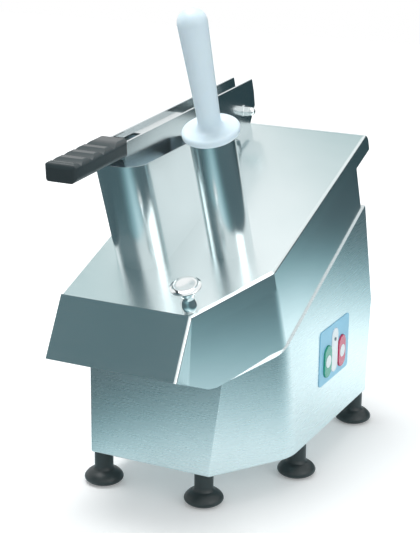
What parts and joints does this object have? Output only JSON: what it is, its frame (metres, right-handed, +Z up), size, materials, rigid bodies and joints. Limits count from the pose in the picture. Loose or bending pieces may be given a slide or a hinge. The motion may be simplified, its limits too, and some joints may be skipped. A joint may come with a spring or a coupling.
{
  "type": "vegetable cutting machine",
  "caption": "Countertop vegetable cutting machine with a sloping hinged lid, a large lever-fed hopper, a round feed tube with a pusher, and a front outlet hood on bell feet.",
  "frame": {"origin": "on the floor, below the middle of the whole machine's outline", "axes": "+Z up, the outlet and the lever's grip face -Y, +X to the right when standing in front of the outlet"},
  "size_m": [0.2774, 0.5741, 0.6597],
  "materials": {
    "stainless": "satin",
    "polished_steel": "polished",
    "cast_aluminium": "satin",
    "motor_paint": "satin",
    "black_rubber": "matte",
    "black_plastic": "satin",
    "white_plastic": "satin",
    "blue_panel": "satin",
    "white_gloss": "gloss",
    "green_gloss": "gloss",
    "red_gloss": "gloss",
    "lamp_dark": "gloss"
  },
  "bodies": {
    "base": {"lower_casing": "stainless", "base_plate": "stainless", "drive_plate": "stainless", "upper_body": "stainless", "bulkhead": "stainless", "cutting_chamber": "stainless", "bearing_housing": "cast_aluminium", "upper_bearing": "polished_steel", "lower_bearing": "polished_steel", "motor": "motor_paint", "drive_belt": "black_rubber", "hinge_pin": "polished_steel", "hinge_leaf_left": "stainless", "hinge_leaf_right": "stainless", "latch_tab": "stainless", "control_panel": "blue_panel", "lamp_bar": "white_gloss", "pilot_lamp": "lamp_dark", "switch_box": "black_plastic", "foot_front_left": "black_rubber", "foot_front_right": "black_rubber", "foot_side": "black_rubber", "foot_rear_left": "black_rubber", "foot_rear_right": "black_rubber"},
    "lid": {"lid": "stainless", "large_hopper": "stainless", "round_feed_tube": "stainless", "lever_bracket": "stainless", "hinge_ear_left": "stainless", "hinge_ear_right": "stainless"},
    "lever": {"lever_arm": "stainless", "hopper_pusher": "white_plastic", "lever_grip": "black_plastic", "lever_tang": "stainless", "lever_pin": "polished_steel", "washer_left": "polished_steel", "washer_right": "polished_steel", "nut_left": "polished_steel", "nut_right": "polished_steel"},
    "pusher": {"round_pusher": "white_plastic"},
    "latch": {"lid_knob": "polished_steel", "latch_tongue": "stainless"},
    "spindle": {"drive_shaft": "polished_steel", "spindle_pulley": "cast_aluminium", "cutting_disc": "stainless", "blade_1": "stainless", "blade_2": "stainless", "blade_3": "stainless", "disc_nut": "stainless", "ejector": "cast_aluminium"},
    "motor_rotor": {"motor_shaft": "polished_steel", "motor_pulley": "cast_aluminium"},
    "start_button": {"green_button": "green_gloss", "green_button_disc": "white_gloss"},
    "stop_button": {"red_button": "red_gloss", "red_button_disc": "white_gloss"}
  },
  "joints": [
    {"name": "lid_hinge", "type": "hinge", "parent": "base", "child": "lid", "pos_m": [0, 0.22284, 0.42511], "axis": [-1, 0, 0], "range_deg": [0, 80]},
    {"name": "lever_hinge", "type": "hinge", "parent": "lid", "child": "lever", "pos_m": [-0.0568, 0.1808, 0.47259], "axis": [-1, 0, 0], "range_deg": [0, 95]},
    {"name": "round_pusher_slide", "type": "slide", "parent": "lid", "child": "pusher", "axis": [0, -0.3543, 0.9351], "range_m": [0, 0.15]},
    {"name": "latch_turn", "type": "hinge", "parent": "lid", "child": "latch", "pos_m": [0.054, -0.1695, 0.29357], "axis": [0, -0.3543, 0.9351], "range_deg": [-90, 0]},
    {"name": "spindle_spin", "type": "hinge", "parent": "base", "child": "spindle", "pos_m": [0, -0.01592, 0.2876], "axis": [0, -0.3543, 0.9351], "continuous": true},
    {"name": "motor_spin", "type": "hinge", "parent": "base", "child": "motor_rotor", "pos_m": [0, 0.1647, 0.31326], "axis": [0, -0.3543, 0.9351], "continuous": true},
    {"name": "start_button_press", "type": "slide", "parent": "base", "child": "start_button", "axis": [-1, 0, 0], "range_m": [0, 0.002], "stiffness_N_per_m": 300, "springref_m": -0.001},
    {"name": "stop_button_press", "type": "slide", "parent": "base", "child": "stop_button", "axis": [-1, 0, 0], "range_m": [0, 0.002], "stiffness_N_per_m": 300, "springref_m": -0.001}
  ],
  "couplings": [
    {"joint": "motor_spin", "follows": "spindle_spin", "ratio": 3.8571}
  ]
}
